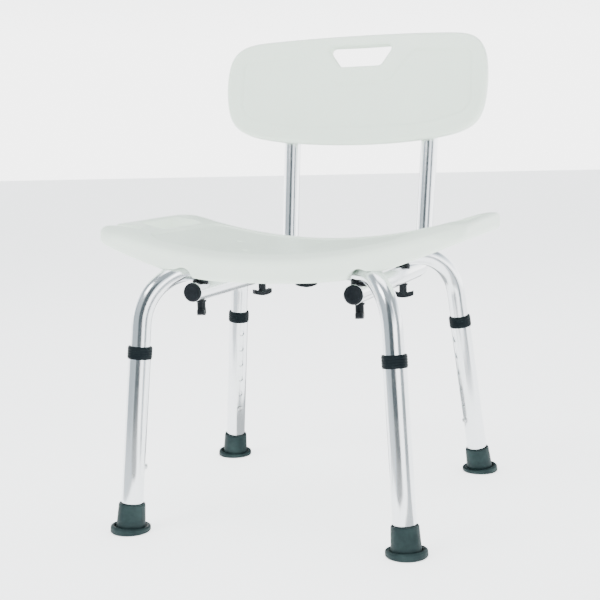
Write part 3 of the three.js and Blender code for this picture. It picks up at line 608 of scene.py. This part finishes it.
def mirrored(half):
    """The whole outline from its right half."""
    return half + [(-a, b) for a, b in reversed(half[1:-1])]


OUTLINE = smooth_loop(mirrored(BACK_OUTLINE), 4)
HAND_HOLE = fillet([(-56.5, 68, 7), (-33, 35, 8), (33, 35, 8), (56.5, 68, 7)], True, 5)
BACK_FIELD = fillet([(-182, 42, 14), (-184, -48, 26), (-105, -62, 60), (105, -62, 60),
                     (184, -48, 26), (182, 42, 14), (88, 55.5, 14), (46, 8.3, 22), (-46, 8.3, 22),
                     (-88, 55.5, 14)], True, 6)
BACK_REACH = (212, 93)
outline_distance = distance_table(OUTLINE, *BACK_REACH)
field_distance = distance_table(BACK_FIELD, *BACK_REACH)
hole_distance = distance_table(HAND_HOLE, *BACK_REACH)
BACK_FIELD_DEPTH, BACK_FIELD_STEP, BACK_EDGE_R, HOLE_RIM_R = 2.0, 2.0, 7, 4
SOCKET_R, SOCKET_EDGE_R, SOCKET_FILLET, SOCKET_BELOW, SOCKET_ABOVE = 16.2, 3, 9, 78, 46
SOCKET_FROM = (BACK_Z - RUN_Z) / math.cos(RECLINE) - SOCKET_BELOW
SOCKET_TO = (BACK_Z - RUN_Z) / math.cos(RECLINE) + SOCKET_ABOVE
BORE_R, BORE_PAST, BORE_END_R, BORE_RIM_R = 13.1, 1, 1, 0.8
UPRIGHTS = [np.array(upright_matrix(s).inverted() @ BACK_MATRIX) for s in (-1, 1)]


def back_field(x, y, z):
    """The bowed backrest with its sunken field, its hand hole and a bored socket for each upright."""
    depth = np.hypot(x, y - BACK_MID + BACK_R) - BACK_R
    dish = BACK_FIELD_DEPTH * (1 - ramp(field_distance(x, z), -BACK_FIELD_STEP, BACK_FIELD_STEP))
    slab = np.maximum(depth - BACK_HALF, -BACK_HALF + dish - depth)
    body = both(slab, outline_distance(x, z), BACK_EDGE_R)
    for m in UPRIGHTS:
        u, v, w = (m[i, 0] * x + m[i, 1] * y + m[i, 2] * z + m[i, 3] for i in range(3))
        socket = both(np.hypot(u, v) - SOCKET_R, np.abs(w - (SOCKET_FROM + SOCKET_TO) / 2)
                      - (SOCKET_TO - SOCKET_FROM) / 2, SOCKET_EDGE_R)
        body = either(body, socket, SOCKET_FILLET)
    for m in UPRIGHTS:
        u, v, w = (m[i, 0] * x + m[i, 1] * y + m[i, 2] * z + m[i, 3] for i in range(3))
        bore = both(np.hypot(u, v) - BORE_R, w - UPRIGHT_LENGTH - BORE_PAST, BORE_END_R)
        body = both(body, -bore, BORE_RIM_R)
    return both(body, -hole_distance(x, z), HOLE_RIM_R)


BACK_STEP = 1.7
verts, quads = skinned(back_field, (-209, -62, -90), (209, 20, 90), BACK_STEP)
add("backrest_shell", moved(verts, BACK_MATRIX), quads, WHITE, "frame",
    ["backrest_panel"])

# ---------------------------------------------------------------- crossed tubes and legs

def diagonal_matrix(side):
    """A cross tube's own axes: X along it, from its front foot."""
    turn = DIAGONAL_ANGLE if side < 0 else math.pi - DIAGONAL_ANGLE
    return (Matrix.Translation((side * FRONT_FOOT[0], FRONT_FOOT[1], 0))
            @ Matrix.Rotation(turn, 4, "Z"))


def half_lap(verts, side):
    """Presses the tube flat where it meets the other one."""
    v = np.array(verts)
    away = np.abs(v[:, 0] - ALONG_CROSS)
    amount = 1 - ramp(away, LAP_FLAT, LAP_FLAT + LAP_BLEND)
    squash = 1 - amount * (1 - LAP_HALF / TUBE_R)
    top = v[:, 2] > LAP_ABOVE_Z
    pressed = CROSS_Z + side * amount * (LAP_HALF + LAP_GAP) + (v[:, 2] - CROSS_Z) * squash
    v[:, 2] = np.where(top, pressed, v[:, 2])
    v[:, 1] *= np.where(top, 1 + amount * LAP_SPREAD, 1)
    return v


def perforated_tube(outer, wall, low, high, holes, hole_r):
    """A tube along Z with round holes on its +X side, as quads with a clean ring round each hole."""
    half = 7.2  # half the side of the square patch that holds a hole
    ring = 8  # patch divisions on each side
    around = 40  # divisions round the rest of the tube
    chamfer = 0.3  # at the tube's two ends
    rim = 0.35  # the bevel at a hole's edge
    inner = outer - wall
    patch_turn = half / outer
    columns = list(np.linspace(-patch_turn, patch_turn, ring + 1))
    columns += list(np.linspace(patch_turn, 2 * math.pi - patch_turn, around + 1))[1:-1]
    rows = [low, low + 0.5]
    for h in holes:
        rows += list(h + np.linspace(-half, half, ring + 1))
    rows += list(np.linspace(holes[-1] + half, high - 0.5, 6))[1:] + [high]
    verts, uv, faces = [], [], []

    def point(turn, z, r):
        verts.append((r * math.cos(turn), r * math.sin(turn), z))
        uv.append((turn * outer / 1000, z / 1000))
        return len(verts) - 1

    grids = {}
    for which, r in (("out", outer), ("in", inner)):
        cut = chamfer if which == "out" else -chamfer
        grid = [[point(t, z, r - cut * (i in (0, len(rows) - 1)))
                 for t in columns] for i, z in enumerate(rows)]
        grids[which] = grid
        skip = {2 + k * (ring + 1) for k in range(len(holes))}
        for i in range(len(rows) - 1):
            hole_row = any(s <= i < s + ring for s in skip)
            for k in range(len(columns)):
                if hole_row and k < ring:
                    continue
                n = (k + 1) % len(columns)
                quad = (grid[i][k], grid[i][n], grid[i + 1][n], grid[i + 1][k])
                faces.append(quad if which == "out" else quad[::-1])
    for end, i in ((-1, 0), (1, len(rows) - 1)):
        for k in range(len(columns)):
            n = (k + 1) % len(columns)
            a, b = grids["out"][i], grids["in"][i]
            quad = (a[k], a[n], b[n], b[k])
            faces.append(quad if end > 0 else quad[::-1])
    for number, h in enumerate(holes):
        first = 2 + number * (ring + 1)
        border = ([(0, k) for k in range(ring)] + [(k, ring) for k in range(ring)]
                  + [(ring, ring - k) for k in range(ring)] + [(ring - k, 0) for k in range(ring)])
        rims = {}
        for which, r in (("out", outer), ("in", inner)):
            loop = [grids[which][first + i][k] for i, k in border]
            for share, sink in ((0.5, 0), (0.15, 0), (0.0, 0), (0.0, rim)):
                fresh = []
                for i, k in border:
                    across = -half + 2 * half * k / ring
                    up = -half + 2 * half * i / ring
                    reach = math.hypot(across, up)
                    keep = hole_r + (rim if sink == 0 else 0) + share * (reach - hole_r - rim)
                    a, z = across / reach * keep, h + up / reach * keep
                    fresh.append(point(math.asin(a / outer), z,
                                       r - (sink if which == "out" else -sink)))
                for j in range(len(border)):
                    n = (j + 1) % len(border)
                    quad = (loop[j], loop[n], fresh[n], fresh[j])
                    faces.append(quad if which == "out" else quad[::-1])
                loop = fresh
            rims[which] = loop
        for j in range(len(border)):
            n = (j + 1) % len(border)
            faces.append((rims["out"][j], rims["out"][n], rims["in"][n], rims["in"][j]))
    return np.array(verts), faces, uv


def foot_mesh(splay):
    """A flared foot: its flange lies flat on the floor and its neck leans with the leg."""
    outline = fillet([
        (0, 0.6), (9, 0.6, 0.3), (10, 0, 0.4), (24.8, 0, 1.2), (26.2, 1.6, 1.2), (26.0, 7.4, 1.8),
        (23.6, 8.4, 1.4), (21.0, 8.0, 1.0), (20.2, 4.8, 1.0), (18.9, 4.8, 0.8), (18.7, 11, 3),
        (17.4, 35.4, 1.0), (16.7, 37.0, 0.7), (15.0, 37.0, 0.3), (14.7, 36.0), (14.65, 7.5, 1),
        (0, 7.5)], steps=5)
    verts, faces = lathe(outline, 64)
    lean = ramp(verts[:, 2], 3.0, 11.0)[:, None]
    turned = moved(verts, Matrix.Rotation(splay, 4, "Y"))
    socket = (np.hypot(verts[:, 0], verts[:, 1]) < 14.9)[:, None] & (verts[:, 2] > 5)[:, None]
    lean = np.where(socket, 1.0, lean)
    return verts + (turned - verts) * lean, faces


def ribbed_wall(low, high, r, pitch, depth):
    """Outline points up a ribbed wall."""
    points = []
    count = int(round((high - low) / pitch))
    for k in range(count):
        z = low + pitch * k
        points += [(r - depth, z + 0.12 * pitch, 0.3), (r, z + 0.3 * pitch, 0.5),
                   (r, z + 0.82 * pitch, 0.5), (r - depth, z + pitch, 0.3)]
    return points


def collar_outline():
    """The ribbed collar at a leg's top, which turns in over the sleeve's edge to the inner tube."""
    ribs = ribbed_wall(227.0, 240.2, 16.0, 3.3, 0.5)
    return fillet([(14.6, 225.8, 0.2), (15.5, 225.8, 0.5), *ribs, (15.6, 240.6, 0.5),
                   (15.2, 242, 0.7), (13.2, 242, 0.4), (13.0, 241.6), (13.0, 236.9),
                   (14.6, 236.9)], True, 3)


STRIP_HALF, STRIP_HALF_WIDTH, BUTTON_FROM, BUTTON_R, BUTTON_PROUD = 0.45, 2.5, 7.2, 3.75, 3.4


def clip_field(x, y, z):
    """Spring strip bent double inside the tube, with a domed button through both walls.

    The hidden arm, at -X, stops short of the tube's far wall to leave room for the button's travel.
    """
    line = [(-4.6, 12.0), (-3.6, 33.6), (-2.0, 36.2), (0.2, 37.1), (2.4, 36.2), (3.8, 33.6),
            (7.8, 5.0), (7.8, -5.0)]
    strip = np.inf
    for (ax, az), (bx, bz) in zip(line, line[1:]):
        ex, ez = bx - ax, bz - az
        t = np.clip(((x - ax) * ex + (z - az) * ez) / (ex * ex + ez * ez), 0, 1)
        strip = np.minimum(strip, np.hypot(x - ax - t * ex, z - az - t * ez))
    leaf = both(strip - STRIP_HALF, np.abs(y) - STRIP_HALF_WIDTH, 0.3)
    nose = LEG_R + BUTTON_PROUD
    dome = both(both(np.hypot(y, z) - BUTTON_R, x - nose, 1.8), BUTTON_FROM - x, 0.3)
    return either(leaf, dome, 0.3)


diagonals = [("a", -1, "front_left", "rear_right"), ("b", 1, "front_right", "rear_left")]
clip_verts, clip_quads = skinned(clip_field, (-10, -4, -6), (19, 4, 38.5), 0.42)
leg_holes = [LOCK_Z + k * HOLE_PITCH for k in range(HOLE_COUNT)]
leg_verts, leg_faces, leg_uv = perforated_tube(LEG_R, LEG_WALL, LEG_FROM, LEG_TO, leg_holes, HOLE_R)
collar_verts, collar_faces = lathe(collar_outline(), 56, closed=True)

for tag, side, front, rear in diagonals:
    across_line = diagonal_matrix(side)
    corners = [(TUBE_END_Z * math.tan(FRONT_SPLAY), 0, TUBE_END_Z),
               (CROSS_Z * math.tan(FRONT_SPLAY), 0, CROSS_Z),
               (DIAGONAL - CROSS_Z * math.tan(REAR_SPLAY), 0, CROSS_Z),
               (DIAGONAL - TUBE_END_Z * math.tan(REAR_SPLAY), 0, TUBE_END_Z)]
    points, tangents = bent_path(corners, LEG_BEND_R, 22, 4.0)
    verts, faces, uv = tube(points, tangents, (0, 1, 0), TUBE_R, TUBE_WALL, 44)
    verts = moved(half_lap(verts, side), across_line)
    add(f"bent_tube_{tag}", verts, oriented(verts, faces), ALUMINIUM, "frame",
        [f"cross_tube_{tag}"], 40, uv)
    far_end = Matrix.Translation((DIAGONAL, 0, 0)) @ Matrix.Rotation(math.pi, 4, "Z")
    for name, splay, this_end in ((front, FRONT_SPLAY, Matrix.Identity(4)),
                                  (rear, REAR_SPLAY, far_end)):
        corner = across_line @ this_end
        leg = corner @ Matrix.Rotation(splay, 4, "Y")
        body = f"leg_{name}"
        verts, faces = foot_mesh(splay)
        verts = moved(verts, corner)
        add(f"rubber_foot_{name}", verts, oriented(verts, faces), RUBBER, body,
            [f"foot_{name}"], 50)
        verts = moved(leg_verts, leg)
        add(f"leg_sleeve_{name}", verts, oriented(verts, leg_faces), ALUMINIUM, body,
            [f"leg_tube_{name}"], 35, leg_uv)
        verts = moved(collar_verts, leg)
        add(f"ribbed_collar_{name}", verts, oriented(verts, collar_faces), COLLAR, body,
            [f"collar_{name}"], 50)
        verts = moved(clip_verts + [0, 0, LOCK_Z], leg)
        add(f"button_clip_{name}", verts, oriented(verts, clip_quads), STEEL, f"button_{name}",
            [f"snap_button_{name}"])

# ---------------------------------------------------------------- back tubes

plug_outline = fillet([(0, -3.0), (7.5, -3.0, 2), (10.4, -2.6, 1.0), (12.5, -1.0, 0.8),
                       (12.5, 0, 0.3), (11.1, 0.1, 0.2), (11.1, 11, 0.6), (9.6, 12, 0.6),
                       (0, 12)], steps=5)
plug_verts, plug_faces = lathe(plug_outline, 48)


def pan_head(x, y, z):
    """Screw along Z with a crossed recess in its head."""
    r = np.hypot(x, y)
    dome = np.sqrt(r * r + (z + 2.0) ** 2) - 5.6
    head = both(both(r - 5.0, dome, 0.5), -z, 0.3)
    shank = both(r - 2.3, np.abs(z + 4) - 5, 0.2)
    thin = np.minimum(np.maximum(np.abs(x) - 0.55, np.abs(y) - 2.4),
                      np.maximum(np.abs(y) - 0.55, np.abs(x) - 2.4))
    recess = np.maximum(thin, 1.7 - z)
    return both(either(head, shank, 0.2), -recess, 0.15)


screw_verts, screw_quads = skinned(pan_head, (-5.2, -5.2, -9.2), (5.2, 5.2, 3.8), 0.3)

for side, word in ((-1, "left"), (1, "right")):
    corners = [(0, RUN_FRONT_Y, 0), (0, CORNER_Y, 0),
               (0, CORNER_Y + UPRIGHT_LENGTH * math.sin(RECLINE),
                UPRIGHT_LENGTH * math.cos(RECLINE))]
    points, tangents = bent_path(corners, RUN_BEND_R, 20, 40.0)
    verts, faces, uv = tube(points, tangents, (1, 0, 0), TUBE_R, TUBE_WALL, 44)
    place = Matrix.Translation((side * RUN_X, 0, RUN_Z)) @ Matrix.Rotation(side * LEAN, 4, "Y")
    verts = moved(verts, place)
    add(f"upright_tube_{word}", verts, oriented(verts, faces), ALUMINIUM, "frame",
        [f"back_tube_{word}"], 40, uv)
    end = (Matrix.Translation((side * RUN_X, RUN_FRONT_Y - FIT_GAP, RUN_Z))
           @ Matrix.Rotation(-math.pi / 2, 4, "X"))
    verts = moved(plug_verts, end)
    add(f"end_plug_{word}", verts, oriented(verts, plug_faces), BLACK, "frame",
        [f"tube_plug_{word}"], 50)
    spot = (upright_matrix(side) @ Matrix.Translation((0, 0, SCREW_UP))
            @ Matrix.Rotation(-math.pi / 2, 4, "X") @ Matrix.Translation((0, 0, SCREW_OUT)))
    verts = moved(screw_verts, spot)
    add(f"pan_screw_{word}", verts, oriented(verts, screw_quads), STEEL, "frame",
        [f"back_screw_{word}"])

# ---------------------------------------------------------------- saddles and thumb screws

SADDLE_R, SADDLE_Z, SADDLE_HALF, SADDLE_BORE_R = 10.5, 319.45, 7.45, 13.0


def saddle_field(heading):
    """A round puck hollowed below for the back tube and above for a cross tube of this heading."""
    c, s = math.cos(heading), math.sin(heading)

    def field(x, y, z):
        puck = both(np.hypot(x, y) - SADDLE_R, np.abs(z - SADDLE_Z) - SADDLE_HALF, 1.0)
        run = SADDLE_BORE_R - np.hypot(x, z - RUN_Z)
        cross = SADDLE_BORE_R - np.hypot(y * c - x * s, z - CROSS_Z)
        return both(both(puck, run, 0.6), cross, 0.6)

    return field


def knob_field(x, y, z):
    """A thumb screw's grip: hub, collar and two swept-up wings."""
    r = np.hypot(x, y)
    hub = both(r - 5.6, np.abs(z + 8) - 8, 0.8)
    rim = both(r - 6.9, np.abs(z + 1.2) - 1.2, 0.6)
    waist = 5.6 - 0.7 * ramp(np.abs(x), 6, 14)
    lift = z + 16.8 - 0.014 * x * x
    wings = both(both(np.abs(x) - 15, np.abs(y) - waist, 1.8), np.abs(lift) - 3.4, 1.4)
    return either(either(hub, wings, 1.5), rim, 0.8)


knob_verts, knob_quads = skinned(knob_field, (-15.5, -7.4, -21), (15.5, 7.4, 0.3), 0.45)
saddles = {s: skinned(saddle_field(s * DIAGONAL_ANGLE), (-11, -11, 311.5), (11, 11, 327.5), 0.4)
           for s in (-1, 1)}
# name, x, distance along the diagonal, which way the cross tube heads, and the grip's turn in radians
stud_places = [("front_left", -RUN_X, ALONG_FRONT, 1, 1.9),
               ("front_right", RUN_X, ALONG_FRONT, -1, 1.8),
               ("rear_left", -RUN_X, ALONG_REAR, -1, 0.95),
               ("rear_right", RUN_X, ALONG_REAR, 1, 0.15)]
CENTRE_TURN, CENTRE_GAP = 0.7, 0.45

for name, x, along, heading, turn in stud_places:
    verts, quads = saddles[heading]
    verts = verts + [x, y_at(along), 0]
    add(f"cupped_saddle_{name}", verts, oriented(verts, quads), BLACK, "frame",
        [f"saddle_{name}"])
    place = (Matrix.Translation((x, y_at(along), RUN_Z - TUBE_R - FIT_GAP))
             @ Matrix.Rotation(turn, 4, "Z"))
    verts = moved(knob_verts, place)
    add(f"thumb_grip_{name}", verts, oriented(verts, knob_quads), BLACK, f"knob_{name}",
        [f"knob_{name}"])
place = (Matrix.Translation((0, y_at(ALONG_CROSS), CROSS_Z - 2 * LAP_HALF - CENTRE_GAP))
         @ Matrix.Rotation(CENTRE_TURN, 4, "Z"))
verts = moved(knob_verts, place)
add("thumb_grip_centre", verts, oriented(verts, knob_quads), BLACK, "knob_centre",
    ["knob_centre"])

# ---------------------------------------------------------------- carried-over CAD nodes

for name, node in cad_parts.items():
    if name.startswith("seat_insert"):
        material = BRASS
    elif name.startswith(("knob_stud", "foot_washer")):
        material = STEEL
    else:
        continue
    node.data.materials.clear()
    node.data.materials.append(material)

# ---------------------------------------------------------------- floor, light and camera

# From here on, lengths are metres.
FLOOR_HALF, FLOOR_GLOW, HORIZON_GLOW, OVERHEAD_GLOW = 30.0, 2.0, 5.0, 0.7
AIM = (0, 0, 0.3)
LIGHTS = [("key", (-1.6, -2.2, 2.6), (1.6, 1.6), 60),  # name, place, size, watts
          ("fill", (2.4, -1.2, 1.6), (1.2, 2.0), 22),
          ("top", (0, 0.4, 3.0), (2.4, 2.4), 75)]

CARDS_Y, CARD_FOOT, CARD_TOP = -0.2 - ORIGIN_Y / 1000, 0.002, 1.3
APRON_FROM, APRON_LIFT = 0.2, 0.65
# name, azimuth from the front and half spread in degrees, distance, glow
CARDS = [("card_front", 6, 24, 1.0, (0.10, 0.13, 0.145)),
         ("card_left", -50, 38, 1.25, (0.72, 0.83, 0.90)),
         ("card_right", 82, 16, 1.1, (0.50, 0.58, 0.62)),
         ("card_rear", 192, 14, 1.3, (0.20, 0.26, 0.28))]

CAMERA_AT = (0.5118, -1.5051 - ORIGIN_Y / 1000, 0.4750)
CAMERA_AZIMUTH, CAMERA_PITCH, CAMERA_ROLL = (math.radians(a) for a in (19.21, 6.95, -1.40))
CAMERA_LENS, CAMERA_SENSOR = 69.6, 36.0


def stage_object(name, verts, material):
    """One four-sided sheet of the set, which is no part of the chair."""
    mesh = bpy.data.meshes.new(name)
    mesh.from_pydata(verts, [], [(0, 1, 2, 3)])
    mesh.materials.append(material)
    staged = bpy.data.objects.new(name, mesh)
    bpy.context.scene.collection.objects.link(staged)
    return staged


def stage_floor():
    """A pale floor with some light of its own, like a light table."""
    material, _, shader = new_material("floor_white", (0.90, 0.90, 0.90), 0.7)
    shader.inputs["Specular IOR Level"].default_value = 0.1
    shader.inputs["Emission Color"].default_value = (1, 1, 1, 1)
    shader.inputs["Emission Strength"].default_value = FLOOR_GLOW
    half = FLOOR_HALF
    stage_object("floor", [(-half, -half, 0), (half, -half, 0), (half, half, 0), (-half, half, 0)],
                 material)


def card(name, azimuth, spread, distance, glow):
    """An upright card with an apron along the floor, which only reflections show.

    Azimuth turns from the front towards +X. A tube reflects the card as a line down its length.
    """
    a, side = math.radians(azimuth), math.tan(math.radians(spread))
    near, foot, top = [
        [(away * (math.sin(a) + k * side * math.cos(a)),
          CARDS_Y - away * (math.cos(a) - k * side * math.sin(a)), z) for k in (-1, 1)]
        for away, z in ((APRON_FROM * distance, CARD_FOOT), (distance, CARD_FOOT),
                        (distance, CARD_TOP))]
    for part, verts, lift in (("upright", [*foot, *top[::-1]], 0.0),
                              ("apron", [*near, *foot[::-1]], APRON_LIFT)):
        material, _, shader = new_material(f"{name}_{part}", (0, 0, 0), 1.0)
        shader.inputs["Specular IOR Level"].default_value = 0.0
        shader.inputs["Emission Color"].default_value = (*(g + lift for g in glow), 1)
        shader.inputs["Emission Strength"].default_value = 1.0
        staged = stage_object(f"{name}_{part}", verts, material)
        staged.visible_camera = False
        staged.visible_diffuse = False
        staged.visible_transmission = False
        staged.visible_shadow = False


def area_light(name, location, size, power):
    """A white panel of light aimed at the chair and hidden from the camera."""
    data = bpy.data.lights.new(name, "AREA")
    data.shape = "RECTANGLE"
    data.size, data.size_y = size
    data.energy = power
    light = bpy.data.objects.new(name, data)
    bpy.context.scene.collection.objects.link(light)
    light.location = location
    light.rotation_euler = (Vector(AIM) - Vector(location)).to_track_quat("-Z", "Y").to_euler()
    light.visible_camera = False


def studio():
    """Bright towards the horizon, and cooler and dimmer overhead."""
    world = bpy.data.worlds.new("studio")
    world.use_nodes = True
    tree = world.node_tree
    background = tree.nodes["Background"]
    direction = tree.nodes.new("ShaderNodeTexCoord").outputs["Generated"]
    split = tree.nodes.new("ShaderNodeSeparateXYZ")
    tree.links.new(direction, split.inputs[0])
    height = remap(tree, split.outputs["Z"], 0.0, 1.0, 0.10, 0.55)
    color = tint(tree, height, (1.0, 1.0, 1.0), (0.80, 0.92, 1.0))
    tree.links.new(color, background.inputs["Color"])
    tree.links.new(remap(tree, height, HORIZON_GLOW, OVERHEAD_GLOW), background.inputs["Strength"])
    bpy.context.scene.world = world
    for light in LIGHTS:
        area_light(*light)
    for upright in CARDS:
        card(*upright)


def photo_camera():
    """The camera that was solved from the photograph."""
    azimuth, pitch, roll = CAMERA_AZIMUTH, CAMERA_PITCH, CAMERA_ROLL
    forward = Vector((-math.sin(azimuth) * math.cos(pitch), math.cos(azimuth) * math.cos(pitch),
                      -math.sin(pitch)))
    right = Vector((math.cos(azimuth), math.sin(azimuth), 0))
    up = right.cross(forward)
    rolled_right = right * math.cos(roll) + up * math.sin(roll)
    rolled_up = up * math.cos(roll) - right * math.sin(roll)
    data = bpy.data.cameras.new("camera")
    data.lens = CAMERA_LENS
    data.sensor_width = CAMERA_SENSOR
    camera = bpy.data.objects.new("camera", data)
    bpy.context.scene.collection.objects.link(camera)
    turn = Matrix((rolled_right, rolled_up, -forward)).transposed().to_4x4()
    camera.matrix_world = Matrix.Translation(CAMERA_AT) @ turn
    bpy.context.scene.camera = camera


stage_floor()
studio()
photo_camera()
